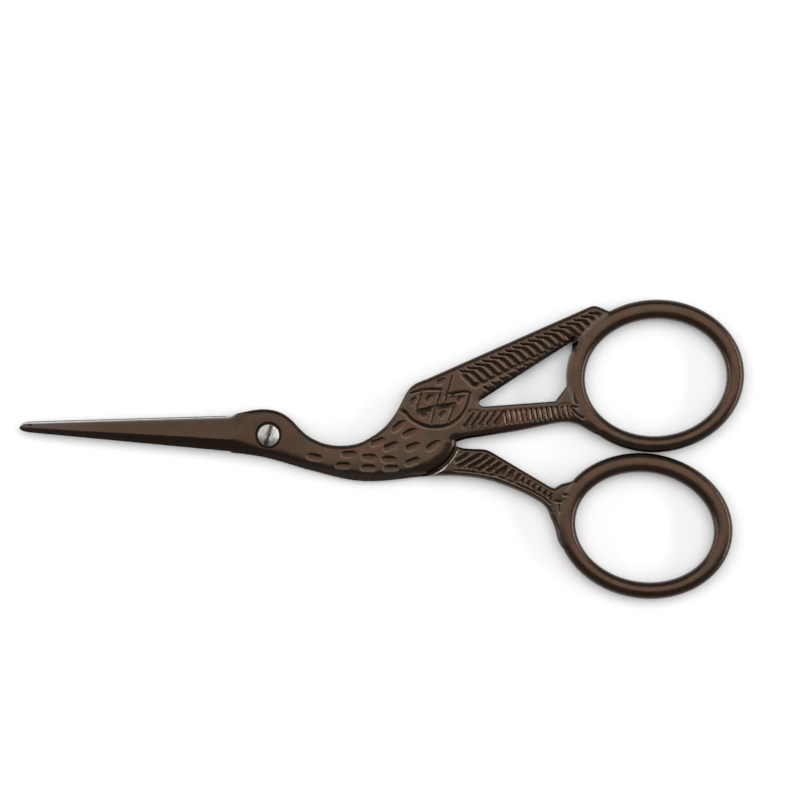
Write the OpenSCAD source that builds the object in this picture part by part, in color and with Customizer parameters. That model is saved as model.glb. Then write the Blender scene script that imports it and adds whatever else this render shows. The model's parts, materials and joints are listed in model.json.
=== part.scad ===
// Stork embroidery scissors, closed, lying on a table.
// Two steel halves cross at a slotted screw. The beak is the blades, the bird's body is the two necks
// lying on each other, and each half ends in a leg with a finger loop. The front half also has the wing.
// Plan sizes are measured from the screw, +X towards the finger loops and +Y towards the wing.
// The model is then moved so that its origin is at the bottom centre of its box.

/* [Steel] */
// Thickness of one half, from the plane where the halves meet to its outer face
half_t = 1.45; // [1.2:0.05:2]
// Gap between the two halves where they slide on each other
face_gap = 0.04; // [0.02:0.01:0.1]
// Gap between each half's round rump and the other half's step
step_gap = 0.45; // [0.3:0.05:0.6]

/* [Blades] */
// Distance from the screw to the tip
blade_l = 39.85; // [36:0.05:42]
// Height of the blade's ridge at the tip
tip_t = 0.55; // [0.4:0.05:0.8]
// Thickness left at the cutting side, before the ground edge
edge_t = 0.5; // [0.35:0.05:0.7]
// Thickness left at the blade's back
spine_t = 0.55; // [0.35:0.05:0.8]
// Width of the bright ground edge
bevel_w = 0.25; // [0.15:0.05:0.4]

/* [Upper finger loop] */
// Distance from the screw to the loop's middle
upper_x = 61.4; // [60:0.05:63]
// Half length of the loop's outside
upper_a = 14.27; // [13.8:0.01:14.6]
// Half width of the loop's outside
upper_b = 12.27; // [11.8:0.01:12.6]
// Half length of the opening
upper_hole_a = 11.35; // [10.8:0.01:11.6]
// Half width of the opening
upper_hole_b = 9.36; // [8.8:0.01:9.6]
// Turn of the loop
upper_turn = 5.5; // [0:0.5:10]

/* [Lower finger loop] */
// Distance from the screw to the loop's middle
lower_x = 60.68; // [60:0.02:62]
// Half length of the loop's outside
lower_a = 14.16; // [13.7:0.01:14.5]
// Half width of the loop's outside
lower_b = 11.66; // [11.2:0.01:12]
// Half length of the opening
lower_hole_a = 11.15; // [10.6:0.01:11.4]
// Half width of the opening
lower_hole_b = 8.74; // [8.2:0.01:9]
// Turn of the loop
lower_turn = -7; // [-10:0.5:0]
// Gap between the loops when the scissors are shut
shut_gap = 0.06; // [0.03:0.01:0.2]

/* [Screw] */
// Diameter of the screw's plain and threaded stem
stem_d = 2; // [1.8:0.1:2.4]
// Running clearance between the stem and the front half, on the radius
bore_clear = 0.05; // [0.02:0.01:0.09]
// Diameter of the screw's head
head_d = 3.56; // [3.2:0.02:3.8]
// Diameter of the recess that the head sits in
recess_d = 4.16; // [4:0.02:4.6]
// Depth of that recess
recess_h = 0.7; // [0.5:0.05:0.8]
// Width of the slot in the head
slot_w = 0.45; // [0.35:0.05:0.6]
// Turn of the slot as the scissors lie in the photo
slot_turn = 76; // [0:1:180]

/* [Hidden] */
$fn = 96;

bronze = [0.36, 0.29, 0.25];
steel = [0.82, 0.82, 0.82];
big = 200;
touch_y = -0.35;
recess_floor = half_t - recess_h;
head_top = half_t - 0.05;
stem_end = -half_t + 0.05;
slot_h = 0.35;
head_gap = 0.03;
dome_r = 5;
mark_depth = 0.2;
rib_depth = 0.25;
loop_flat = 69;
loop_steps = 72;
loop_sides = 12;
// The middle of each opening, from the middle of its loop
upper_shift = [0.1, -0.25];
lower_shift = [0, -0.2];

// Points of a smooth curve through the knots, n steps between each two
function smooth(k, n = 5) = concat(
    [for (i = [0:len(k) - 2], j = [0:n - 1])
        let (a = k[max(i - 1, 0)], b = k[i], c = k[i + 1], d = k[min(i + 2, len(k) - 1)], t = j / n)
        (2 * b + (c - a) * t + (2 * a - 5 * b + 4 * c - d) * t * t
            + (3 * b - a - 3 * c + d) * t * t * t) / 2],
    [k[len(k) - 1]]);

// A finger loop is two ellipses: [middle, half length, half width, the same of the opening, turn]
// Half the height of an ellipse, and half its length, square to and along X
function reach_y(a, b, turn) = norm([a * sin(turn), b * cos(turn)]);
function reach_x(a, b, turn) = norm([a * cos(turn), b * sin(turn)]);
function turned(p, w) = [p.x * cos(w) - p.y * sin(w), p.x * sin(w) + p.y * cos(w)];
// A point of the loop at angle w: k is -1 on the opening, 0 in the middle of the wire, 1 outside
function on_loop(o, w, k = 0) =
    (o[0] + turned([o[1] * cos(w), o[2] * sin(w)], o[6])) * (1 + k) / 2
    + (o[3] + turned([o[4] * cos(w), o[5] * sin(w)], o[6])) * (1 - k) / 2;

upper_y = touch_y + shut_gap / 2 + reach_y(upper_a, upper_b, upper_turn);
lower_y = touch_y - shut_gap / 2 - reach_y(lower_a, lower_b, lower_turn);
upper = [[upper_x, upper_y], upper_a, upper_b,
    [upper_x, upper_y] + upper_shift, upper_hole_a, upper_hole_b, upper_turn];
lower = [[lower_x, lower_y], lower_a, lower_b,
    [lower_x, lower_y] + lower_shift, lower_hole_a, lower_hole_b, lower_turn];

// Box of the closed scissors, which places the origin
x_min = -blade_l;
x_max = upper_x + reach_x(upper_a, upper_b, upper_turn);
y_max = upper_y + reach_y(upper_a, upper_b, upper_turn);
y_min = lower_y - reach_y(lower_a, lower_b, lower_turn);
origin = [-(x_min + x_max) / 2, -(y_min + y_max) / 2, half_t];

// Front half: the upper line from the end of the cutting edge over the head, neck and breast to the wing
front_head = [[-6.8, 2.58], [-6.2, 2.72], [-5.8, 3.0], [-5.2, 3.3], [-4, 3.6], [-2.4, 3.98], [-1, 4.15],
    [0.2, 4.1], [1.4, 3.85], [2.6, 3.3], [3.8, 2.4], [5, 1.2], [6.4, 0.1], [8, -0.65], [9.6, -1.08],
    [11.2, -1.2], [12.8, -1.08], [14.4, -0.7], [15.8, 0], [17.2, 0.95], [18.5, 2.1], [19.6, 3.5],
    [20.4, 4.85], [21.1, 6.3], [21.7, 7.6], [22.4, 8.6], [23.4, 9.35], [25, 10.05]];
wing_tip = [[50, 22.35], [50.7, 22.65], [51.4, 22.75], [52.4, 22.45], [53.6, 22.1]];
leg_low = [[53, 1.85], [52, 2.4], [51, 2.9], [50, 3.4], [49, 3.8], [47.6, 4], [46, 3.82], [43, 3.1],
    [40, 2.35], [37, 1.75], [34, 1.15], [31.6, 0.7], [30, 0.15]];
rump = [[30, 0.15], [30, -0.3], [29.75, -1.05], [29.3, -1.95], [28.65, -2.85], [27.75, -3.75],
    [26.7, -4.5], [25.4, -5.05], [23.8, -5.2]];
front_belly = [[23.8, -5.2], [22, -5.36], [20, -5.62], [18, -5.86], [16, -5.95], [14, -5.88], [12, -5.64],
    [10, -5.3], [8, -4.95], [6, -4.54], [4, -4.05], [2, -3.5], [0, -3.12], [-2, -2.96], [-5, -2.84],
    [-8, -2.7]];
front_tip = [[-38, -1.08], [-39.1, -0.93], [-39.7, -0.68], [-blade_l, -0.35], [-39.6, 0], [-38.9, 0.3]];

// Window between the wing and the leg
window_low = [[45.6, 7.28], [34.3, 5.97]];
window_end = [[34.3, 5.97], [33.72, 6.08], [33.38, 6.5], [33.6, 6.95], [34, 7.2]];
window_high = [[47.9, 16.95], [47.85, 15.6]];
window_right = [[47.85, 15.6], [47.55, 14.2], [47.3, 12.4], [47.25, 11], [47.2, 9.75]];

// Back half: its back, hidden upper line, round rump under the wing, and leg
back_spine = [[-38.6, 0.64], [-7, 2.83]];
back_neck = [[-7, 2.83], [-5, 2.95], [-3, 3.27], [-1, 3.52], [0.6, 3.46], [2, 3.02], [3.2, 2.25],
    [4.4, 1.15], [5.6, 0.05], [7, -0.82], [8.6, -1.42], [10.4, -1.74], [12.2, -1.76], [14, -1.4],
    [15.8, -0.62], [17.4, 0.5], [18.9, 1.9], [20.2, 3.5]];
back_rump = [[20.2, 3.5], [21.2, 4.55], [22.4, 5.1], [23.9, 5.25], [25.4, 5.05], [26.7, 4.5], [27.8, 3.7],
    [28.65, 2.8], [29.3, 1.8], [29.75, 0.9], [29.95, 0.15], [30.1, -0.55]];
shank_high = [[30.1, -0.55], [31, -0.78], [32.4, -0.86], [34, -0.85], [35.1, -0.98], [36.2, -1.5]];
shank_notch = [[45, -6.25], [45.6, -6.52], [46.1, -6.56], [46.6, -6.2], [47.3, -5.82], [48.4, -5.52],
    [49.2, -5.05], [50.2, -4.05], [51.4, -3.1]];
shank_low = [[46.8, -14.6], [46.4, -13.2], [46, -12.2], [45.5, -11.2], [45.15, -10.3], [44.5, -9.45],
    [43.5, -8.75], [42, -7.98], [40, -7.15], [38, -6.45], [36, -5.88], [34, -5.5], [32, -5.32],
    [30, -5.27], [28, -5.33], [26, -5.5]];
back_belly = [[26, -5.5], [24, -5.72], [22, -6.03], [20, -6.36], [18, -6.6], [16, -6.72], [14, -6.65],
    [12, -6.4], [10, -6], [8, -5.56], [6, -5.12], [4, -4.62], [2, -4.1], [0, -3.66], [-2, -3.35],
    [-4, -3.14], [-5.3, -3.05], [-6, -2.95], [-6.5, -2.68], [-7.2, -2.45]];
back_tip = [[-38.7, -0.55], [-39.2, -0.3], [-39.55, 0], [-39.5, 0.3], [-39.1, 0.5], [-38.6, 0.64]];

front_shape = concat(smooth(front_head), smooth(wing_tip), [for (w = [126:4:230]) on_loop(upper, w)],
    smooth(leg_low), smooth(rump), smooth(front_belly), smooth(front_tip));
front_window = concat(window_low, smooth(window_end), window_high, smooth(window_right));
back_body = concat(back_spine, smooth(back_neck), smooth(back_rump), smooth(shank_high),
    smooth(shank_notch), [for (w = [142:4:190]) on_loop(lower, w)], smooth(shank_low),
    smooth(back_belly), smooth(back_tip));

// Line beside a row of knots, d to its left
function beside(k, d) = [for (i = [0:len(k) - 1])
    let (s = k[min(i + 1, len(k) - 1)] - k[max(i - 1, 0)]) k[i] + d * [-s.y, s.x] / norm(s)];
// Steps: where a half grows to its full thickness, a step_gap outside the other half's rump
front_step = smooth(beside([for (i = [1:len(back_rump) - 3]) back_rump[i]], step_gap));
back_step = smooth(beside([for (i = [1:len(rump) - 2]) rump[i]], step_gap));
front_thick = concat([[20, 14], [20, 5.6]], front_step, [[30.6, 1], [32, -4], [64, -4], [64, 30]]);
back_thick = concat([[60, 4], [30.5, 4], [30.5, -0.5]], back_step, [[24.5, -9], [44, -30], [60, -30]]);

// Blade faces, as points [x, y, z] of the front half: the ridge, the cutting side, the blade's back
// and two flats that run the faces out into the head
ridge = [-6, -0.85, half_t];
ridge_tip = [-blade_l, -0.3, tip_t];
edge_side = [-6, 2.6, edge_t];
back_side = [-6, -2.8, spine_t];
edge_root = [-5.6, 3.1, edge_t + 0.05];
head_high = [-2.2, 3.9, half_t];
head_low = [3, -3.4, half_t];
edge_z = 0.06;
edge_end_x = -6.1;
front_edge = [[-6.8, 2.58], [-38.9, 0.3]];
back_edge = [[-7.2, 2.45], [-38.7, 0.55]];

// Carving on the bird: [x, y, turn] of each feather mark
feathers = [[7.5, -3.2, -8], [13, -2.5, 5], [12.1, -4.4, 3], [16.2, -2.9, 0], [16.2, -4.6, 0],
    [19.4, -3.1, 0], [19.8, -4.5, 3], [17.5, -0.35, 22], [19.6, -1, 25], [20.7, 2.3, 40],
    [22.5, 1.3, 25], [23.1, -0.9, 22], [26.3, -0.6, 38], [23.2, -3.3, 22]];
feather_l = 2.7;
feather_w = 1.1;
shield = [26, 8.3];
shield_r = 6;
shield_turn = 216;
shield_arc = 140;
groove_w = 0.45;
fine_w = 0.35;
// Rows of strokes: [first x, first y, step x, step y, turn, length, change of length, width, count]
wing_barbs = [33.5, 10.3, 0.92, 0.585, -40, 3, -0.06, groove_w, 17];
wing_tufts = [31.9, 12.2, 1.02, 0.5, -10, 1.3, 0, fine_w, 17];
thigh_strokes = [32.2, 3.4, 1.2, 0.22, 62, 2.4, -0.15, groove_w, 5];
leg_strokes = [37.9, 4.6, 0.82, 0.09, 88, 1.7, 0, fine_w, 13];
shank_strokes = [31.8, -2.1, 1.35, -0.52, 22, 3.4, -0.25, groove_w, 5];
shank_dots = [39, -4.75, 1.05, -0.5, 35, 0.9, 0, 0.55, 7];

// Slope [x, y] of the plane through three points
function slope_of(p, q, r) = let (u = q - p, v = r - p, d = u.x * v.y - u.y * v.x)
    [(u.z * v.y - v.z * u.y) / d, (v.z * u.x - u.z * v.x) / d];

module below(p, slope) {
    // Everything under the plane through p that rises by slope per unit of X and Y
    translate(p) rotate([0, 0, atan2(slope.y, slope.x)]) rotate([0, -atan(norm(slope)), 0])
        translate([-big / 2, -big / 2, -big]) cube(big);
}

module ground_blade(edge) {
    // Shapes the blade of a half whose cutting side is at +Y and whose outer face is up
    run = edge[0] - edge[1];
    inward = [run.y, -run.x] / norm(run);
    intersection() {
        children();
        union() {
            below(ridge, slope_of(ridge, ridge_tip, edge_side));
            below(ridge, slope_of(ridge, head_high, edge_root));
        }
        union() {
            below(ridge, slope_of(ridge, ridge_tip, back_side));
            below(ridge, slope_of(ridge, head_low, back_side));
        }
        union() {
            below([edge[0].x, edge[0].y, edge_z], inward * (edge_t - edge_z) / bevel_w);
            translate([edge_end_x, -big / 2, -big / 2]) cube(big);
        }
    }
}

module finger_loop(o) {
    // The wire's section is round with its top and bottom cut flat, and is swept round the loop
    section = [for (side = [0, 180], i = [0:loop_sides / 2 - 1])
        let (w = side - loop_flat + 2 * loop_flat * i / (loop_sides / 2 - 1))
            [cos(w), half_t * sin(w) / sin(loop_flat)]];
    polyhedron([for (i = [0:loop_steps - 1], p = section)
            let (q = on_loop(o, 360 * i / loop_steps, p.x)) [q.x, q.y, p.y]],
        [for (i = [0:loop_steps - 1], j = [0:loop_sides - 1])
            let (k = (i + 1) % loop_steps, m = (j + 1) % loop_sides)
            [i * loop_sides + m, k * loop_sides + m, k * loop_sides + j, i * loop_sides + j]]);
}

module slab(z0, z1) {
    translate([0, 0, z0]) linear_extrude(z1 - z0) children();
}

module strokes(row) {
    // A row of short grooves cut down from the outer face
    for (i = [0:row[8] - 1]) let (l = row[5] + row[6] * i)
        translate([row[0] + row[2] * i, row[1] + row[3] * i, half_t - rib_depth]) rotate([0, 0, row[4]])
            translate([-l / 2, -row[7] / 2, 0]) cube([l, row[7], 1]);
}

module feather(x, y, turn) {
    r = (feather_l * feather_l + feather_w * feather_w) / (4 * feather_w);
    translate([x, y, half_t - mark_depth]) rotate([0, 0, turn]) intersection() {
        translate([0, r - feather_w / 2, 0]) cylinder(r = r, h = 1);
        translate([0, feather_w / 2 - r, 0]) cylinder(r = r, h = 1);
    }
}

module front_carving() {
    for (f = feathers) feather(f[0], f[1], f[2]);
    // Edge of the shield on the wing's shoulder
    translate([shield.x, shield.y, half_t - mark_depth]) rotate([0, 0, shield_turn])
        rotate_extrude(angle = shield_arc) translate([shield_r - groove_w / 2, 0]) square([groove_w, 1]);
    strokes(wing_barbs);
    strokes(wing_tufts);
    strokes(thigh_strokes);
    strokes(leg_strokes);
}

module back_carving() {
    strokes(shank_strokes);
    strokes(shank_dots);
}

module front_plan() {
    difference() {
        polygon(front_shape);
        polygon(front_window);
    }
}

module front_half() {
    color(bronze) translate(origin) difference() {
        union() {
            ground_blade(front_edge) slab(face_gap / 2, half_t) front_plan();
            slab(-half_t, half_t) intersection() {
                front_plan();
                polygon(front_thick);
            }
            finger_loop(upper);
        }
        front_carving();
        translate([0, 0, -half_t]) cylinder(d = stem_d + 2 * bore_clear, h = 2 * half_t);
        translate([0, 0, recess_floor]) cylinder(d = recess_d, h = half_t);
    }
}

module back_half() {
    color(bronze) translate(origin) difference() {
        union() {
            rotate([180, 0, 0]) ground_blade(back_edge) slab(face_gap / 2, half_t)
                mirror([0, 1]) polygon(back_body);
            slab(-half_t, half_t) intersection() {
                polygon(back_body);
                polygon(back_thick);
            }
            finger_loop(lower);
        }
        back_carving();
        translate([0, 0, -2 * half_t]) cylinder(d = stem_d, h = 4 * half_t);
    }
}

module pivot_screw() {
    color(steel) translate(origin) difference() {
        union() {
            translate([0, 0, stem_end]) cylinder(d = stem_d, h = recess_floor + head_gap - stem_end);
            intersection() {
                translate([0, 0, recess_floor + head_gap]) cylinder(d = head_d, h = half_t);
                translate([0, 0, head_top - dome_r]) sphere(r = dome_r);
            }
        }
        rotate([0, 0, slot_turn]) translate([-head_d, -slot_w / 2, head_top - slot_h])
            cube([2 * head_d, slot_w, half_t]);
    }
}

front_half();
back_half();
pivot_screw();
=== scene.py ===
import json
import math

import bmesh
import bpy
import numpy as np
from bpy.props import FloatProperty, FloatVectorProperty, PointerProperty
from mathutils import Matrix, Vector
from mathutils.geometry import delaunay_2d_cdt
from mathutils.kdtree import KDTree


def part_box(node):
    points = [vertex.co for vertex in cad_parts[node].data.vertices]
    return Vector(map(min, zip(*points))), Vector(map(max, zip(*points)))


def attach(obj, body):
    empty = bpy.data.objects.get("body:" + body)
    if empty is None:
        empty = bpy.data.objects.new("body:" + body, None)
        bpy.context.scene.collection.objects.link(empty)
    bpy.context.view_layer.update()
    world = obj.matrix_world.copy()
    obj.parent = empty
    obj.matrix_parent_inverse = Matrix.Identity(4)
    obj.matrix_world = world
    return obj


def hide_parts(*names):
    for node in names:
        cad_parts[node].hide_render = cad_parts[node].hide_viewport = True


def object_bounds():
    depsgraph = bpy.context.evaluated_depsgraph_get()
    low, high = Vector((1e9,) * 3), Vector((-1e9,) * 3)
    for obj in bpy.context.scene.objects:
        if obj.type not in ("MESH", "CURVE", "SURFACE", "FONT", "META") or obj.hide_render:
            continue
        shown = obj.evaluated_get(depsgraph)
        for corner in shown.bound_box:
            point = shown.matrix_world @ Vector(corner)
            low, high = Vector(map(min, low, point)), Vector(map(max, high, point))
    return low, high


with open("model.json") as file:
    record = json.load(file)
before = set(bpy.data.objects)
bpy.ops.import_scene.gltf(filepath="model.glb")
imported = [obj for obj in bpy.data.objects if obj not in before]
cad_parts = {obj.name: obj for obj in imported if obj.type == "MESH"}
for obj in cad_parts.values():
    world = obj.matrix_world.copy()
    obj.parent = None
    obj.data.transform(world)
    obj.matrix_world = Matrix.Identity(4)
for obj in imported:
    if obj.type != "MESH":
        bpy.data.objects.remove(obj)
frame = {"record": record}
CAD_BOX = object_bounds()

bl_info = {
    "name": "Stork embroidery scissors",
    "version": (1, 0, 0),
    "blender": (4, 5, 0),
    "location": "View3D > Sidebar > Scissors",
    "description": "Builds stork embroidery scissors: two carved halves, their pivot screw and a table",
    "category": "Add Mesh",
}

# Plan sizes are millimetres from the screw, +X towards the finger loops and +Y towards the wing
MM = 0.001
SCREW = Vector(frame["record"]["behaviour"]["joints"][0]["pos_m"])
HALF_T = (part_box("front_half")[1].z - SCREW.z) / MM
# Distance between the mesh's points on the outlines, in the carving and elsewhere
OUTLINE_STEP = 0.24
FINE_STEP = 0.15
COARSE_STEP = 0.4
# Distances inside an edge at which the mesh has rings of points
RIM_RINGS = (0.03, 0.09, 0.19, 0.34, 0.56, 0.86, 1.25, 1.75)
CIRCLE_STEPS = 72
# Width of a step's steep wall, and width and drop of the rounding above it
STEP_WALL = 0.03
STEP_ROUND = (0.25, 0.12)
# Distances inside the outline and inside the blade's back at which an inner face's coat ends
COAT_MARGIN = 0.95
SPINE_MARGIN = 0.12
# The plate's rounded edges stop at this share of their quarter ellipse, before they get steep
ROUND_END = 0.88
# Width and drop of the outer face's gentle crown, of the wire's, and of an edge that isn't rounded
CROWN = (2.6, 0.1)
WIRE_CROWN = (1.4, 0.03)
NONE = (0, 0)
# Gap under the screw's head, and how far its top lies below the outer face
SEAT_GAP = 0.03
HEAD_SINK = 0.05

# Finger loops: middle and half sizes of the outside, middle and half sizes of the opening, turn
UPPER_LOOP = ((61.4, 11.97), (14.22, 12.21), (61.5, 11.72), (11.35, 9.36), math.radians(5.5))
LOWER_LOOP = ((60.68, -12.08), (14.11, 11.6), (60.68, -12.28), (11.15, 8.74), math.radians(-7))
# Width and drop of the rounding of a loop's wire
LOOP_ROUND = (1.3, 1.12)
LOOP_STEPS = 400
WIRE_STEPS = 900
# Hollow where the wing meets the upper loop: its middle, depth and spread
HOLLOW = ((48.2, 16.8), 0.75, 0.7)

# Knots of the front half's outline
CUTTING_EDGE = [(-38.9, 0.3), (-6.8, 2.58)]
NOTCH = [(-6.8, 2.58), (-6.2, 2.72), (-5.8, 3.0), (-5.2, 3.3)]
HEAD = [(-5.2, 3.3), (-4, 3.6), (-2.4, 3.98), (-1, 4.15), (0.2, 4.1), (1.4, 3.85), (2.6, 3.3), (3.8, 2.4),
        (5, 1.2), (6.4, 0.1), (8, -0.65), (9.6, -1.08), (11.2, -1.2), (12.8, -1.08), (14.4, -0.7),
        (15.8, 0), (17.2, 0.95)]
BREAST = [(17.2, 0.95), (18.5, 2.1), (19.6, 3.5), (20.4, 4.85), (21.1, 6.3), (21.7, 7.6), (22.4, 8.6),
          (23.4, 9.35), (25, 10.05)]
WING_TOP = [(25, 10.05), (50, 22.35)]
WING_TIP = [(50, 22.35), (50.7, 22.65), (51.4, 22.75), (52.3, 22.5), (53.3, 22.1), (54.4, 21.8)]
LEG_LOW = [(53.4, 1.85), (52, 2.4), (51, 2.9), (50, 3.4), (49, 3.8), (47.6, 4), (46, 3.82), (43, 3.1),
           (40, 2.35), (37, 1.75), (34, 1.15), (31.6, 0.7), (30, 0.15)]
RUMP = [(30, 0.15), (30, -0.3), (29.75, -1.05), (29.3, -1.95), (28.65, -2.85), (27.75, -3.75),
        (26.7, -4.5), (25.4, -5.05), (23.8, -5.2)]
BELLY = [(23.8, -5.2), (22, -5.36), (20, -5.62), (18, -5.86), (16, -5.95), (14, -5.88), (12, -5.64),
         (10, -5.3), (8, -4.95), (6, -4.54), (4, -4.05), (2, -3.5), (0, -3.12), (-2, -2.96), (-5, -2.84),
         (-8, -2.7)]
BLADE_BACK = [(-8, -2.7), (-38, -1.08)]
TIP = [(-38, -1.08), (-39.1, -0.93), (-39.7, -0.68), (-39.85, -0.35), (-39.6, 0), (-38.9, 0.3)]
WINDOW_LOW = [(45.6, 7.28), (34.3, 5.97)]
WINDOW_END = [(34.3, 5.97), (33.72, 6.08), (33.38, 6.5), (33.6, 6.95), (34, 7.2)]
WINDOW_HIGH = [(34, 7.2), (47.9, 16.95)]
WINDOW_SIDE = [(47.8, 15.6), (47.2, 9.75)]

# Knots of the back half's outline
BACK_SPINE = [(-38.6, 0.64), (-7, 2.83)]
BACK_NECK = [(-7, 2.83), (-5, 2.95), (-3, 3.27), (-1, 3.52), (0.6, 3.46), (2, 3.02), (3.2, 2.25),
             (4.4, 1.15), (5.6, 0.05), (7, -0.82), (8.6, -1.42), (10.4, -1.74), (12.2, -1.76), (14, -1.4),
             (15.8, -0.62), (17.4, 0.5), (18.9, 1.9), (20.2, 3.5)]
BACK_RUMP = [(20.2, 3.5), (21.2, 4.55), (22.4, 5.1), (23.9, 5.25), (25.4, 5.05), (26.7, 4.5), (27.8, 3.7),
             (28.65, 2.8), (29.3, 1.8), (29.75, 0.9), (29.95, 0.15), (30.1, -0.55)]
SHANK_HIGH = [(30.1, -0.55), (31, -0.78), (32.4, -0.86), (34, -0.85), (35.1, -0.98), (36.2, -1.5)]
SHANK_LINE = [(36.2, -1.5), (45, -6.25)]
SHANK_NOTCH = [(45, -6.25), (45.6, -6.52), (46.1, -6.56), (46.6, -6.2), (47.3, -5.82), (48.4, -5.52),
               (49.2, -5.05), (50.2, -4.05), (51.4, -3.1)]
SHANK_LOW = [(48.15, -16.6), (47.35, -15.7), (46.8, -14.6), (46.4, -13.2), (46, -12.2), (45.5, -11.2),
             (45.15, -10.3), (44.5, -9.45), (43.5, -8.75), (42, -7.98), (40, -7.15), (38, -6.45),
             (36, -5.88), (34, -5.5), (32, -5.32), (30, -5.27), (28, -5.33), (26, -5.5)]
BACK_BELLY = [(26, -5.5), (24, -5.72), (22, -6.03), (20, -6.36), (18, -6.6), (16, -6.72), (14, -6.65),
              (12, -6.4), (10, -6), (8, -5.56), (6, -5.12), (4, -4.62), (2, -4.1), (0, -3.66), (-2, -3.35),
              (-4, -3.14), (-5.3, -3.05)]
BACK_NOTCH = [(-5.3, -3.05), (-6, -2.95), (-6.5, -2.68), (-7.2, -2.45)]
BACK_EDGE = [(-7.2, -2.45), (-38.7, -0.55)]
BACK_TIP = [(-38.7, -0.55), (-39.2, -0.3), (-39.55, 0), (-39.5, 0.3), (-39.1, 0.5), (-38.6, 0.64)]

# Blade: ridge, cutting side and back as (x, y, height), with the cutting side at +Y
RIDGE = (-6, -0.85, 1.45)
RIDGE_TIP = (-39.85, -0.3, 0.55)
EDGE_SIDE = (-6, 2.6, 0.5)
EDGE_ROOT = (-5.6, 3.1, 0.55)
BACK_SIDE = (-6, -2.8, 0.55)
HEAD_HIGH = (-2.2, 3.9, 1.45)
HEAD_LOW = (3, -3.4, 1.45)
# Ground strip: its height at the cutting line, its slope at the head, and where it ends
EDGE_Z = 0.06
EDGE_SLOPE = 2.5
GROUND_END = -4.5
# Height given to the ground strip past its end, above everything else
ABOVE_ALL = 9

# Carving: feather marks as (x, y, turn in degrees)
FEATHERS = [(7.5, -3.2, -8), (13, -2.5, 5), (12.1, -4.4, 3), (16.2, -2.9, 0), (16.2, -4.6, 0),
            (19.4, -3.1, 0), (19.8, -4.5, 3), (17.5, -0.35, 22), (19.6, -1, 25), (20.7, 2.3, 40),
            (22.5, 1.3, 25), (23.1, -0.9, 22), (26.3, -0.6, 38), (23.2, -3.3, 22)]
FEATHER_HALF = (1.33, 0.56)
FEATHER_DEPTH = 0.27
# The back half's marks lie lower, as its belly does
BACK_SHIFT = 0.6
DIMPLE_DEPTH = 0.17
# Share of a mark's half width at which its floor is deepest
CREASE = 0.55
# Width and height of the lip beside a groove, and depth of the fields that the carving lies in
LIP = 0.16
LIP_RISE = 0.05
FIELD_DEPTH = 0.07
# The carving's lips get a painted highlight on their side away from this direction, which the light comes
# from
LIGHT_FROM = (0.35, 0.94)
SHIELD = (26, 8.3)
SHIELD_R = 5.9
SHIELD_RING = [(21, 4.95), (21.9, 4.35), (22.6, 3.6), (23.6, 3.02), (24.6, 2.62), (25.5, 2.45), (26.5, 2.42),
               (27.5, 2.52), (28.5, 2.78), (29.4, 3.25), (30.25, 3.95), (30.95, 4.9), (31.35, 5.8),
               (31.6, 6.6), (31.75, 7.3), (31.82, 7.9)]
# Lattice of the shield, and the dimples in its cells as (x, y, turn in degrees, half sizes)
LATTICE = [[(22.4, 7.68), (23.5, 8), (24.4, 8.25), (25.4, 8.38), (27.35, 8.42)],
           [(24.3, 8.25), (23.95, 7), (23.65, 5.9), (23.4, 4.85)],
           [(27.35, 8.42), (27, 7.3), (26.6, 6.1), (26.3, 5), (26.05, 3.9), (25.9, 2.7)],
           [(23.4, 4.85), (24.8, 5.2), (26.3, 5.62), (27.9, 5.98), (29.5, 6.25)],
           [(29.5, 6.25), (29.15, 5.3), (28.85, 4.3), (28.45, 2.9)],
           [(28.85, 10.5), (28.6, 9.3), (28.25, 7.8), (27.95, 6.8), (27.75, 6)],
           [(28.25, 7.75), (29.2, 7.85), (30.1, 8.05), (31, 8.2), (31.75, 8.1)]]
DIMPLES = [(27.15, 9.72, 28, (0.88, 0.48)), (22.85, 6.35, 62, (0.74, 0.42)), (25.4, 6.85, 48, (0.78, 0.46)),
           (30.3, 6.95, 55, (0.64, 0.42)), (24.7, 4.1, 12, (0.62, 0.38)), (27.65, 4.4, 52, (0.72, 0.44))]
# One groove of the wing: its level start below the rim, its slanting rest, and the groove before the first
BARB_FIRST = (30.5, 11.38)
BARB_PITCH = (1.185, 0.592)
BARB_COUNT = 18
BARB_SHRINK = 0.014
BARB_HOOK = [(-0.45, 0.26), (-0.05, 0.02), (0.7, 0.02), (1.35, -0.06)]
BARB = [(1.35, -0.06), (1.75, -0.22), (2.25, -0.62), (2.75, -1.1), (3.2, -1.4), (3.6, -1.42), (4.0, -1.25)]
BARB_HALF = [(30.75, 10.85), (31.55, 10.15), (32.15, 9.55), (32.6, 9.32), (33.1, 9.5)]
# Raised end of a barb with a painted highlight: its offset from the barb's groove, its turn in degrees and
# half sizes
BARB_END = ((3.55, -1.0), -48, (0.55, 0.26))
LEG_BRANCHES = [[(48.45, 8.5), (48.65, 7.7), (48.9, 7)], [(48, 6.35), (48.5, 6.55), (49, 6.5)],
                [(48.35, 6.1), (49.2, 5.25), (50.1, 4.75)]]
SHANK_STROKES = [[(30.1, -2.85), (31.2, -2.2), (32, -1.6)],
                 [(30.5, -3.75), (31.3, -3.35), (32.3, -2.65), (33.2, -2.1), (33.9, -1.65)],
                 [(32.25, -3.85), (33, -3.4), (33.9, -2.85), (34.6, -2.3), (35.1, -1.95)],
                 [(33.8, -4.15), (34.6, -3.6), (35.2, -3.1), (36.2, -2.4)],
                 [(35.2, -4.3), (35.8, -4), (36.4, -3.5), (37.2, -2.95)],
                 [(36.6, -4.7), (37.2, -4.2), (37.7, -3.85), (38.3, -3.55)],
                 [(38.45, -5.1), (38.8, -4.55), (39.3, -4.15)], [(39.7, -5.6), (40, -5.1), (40.35, -4.7)]]
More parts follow.
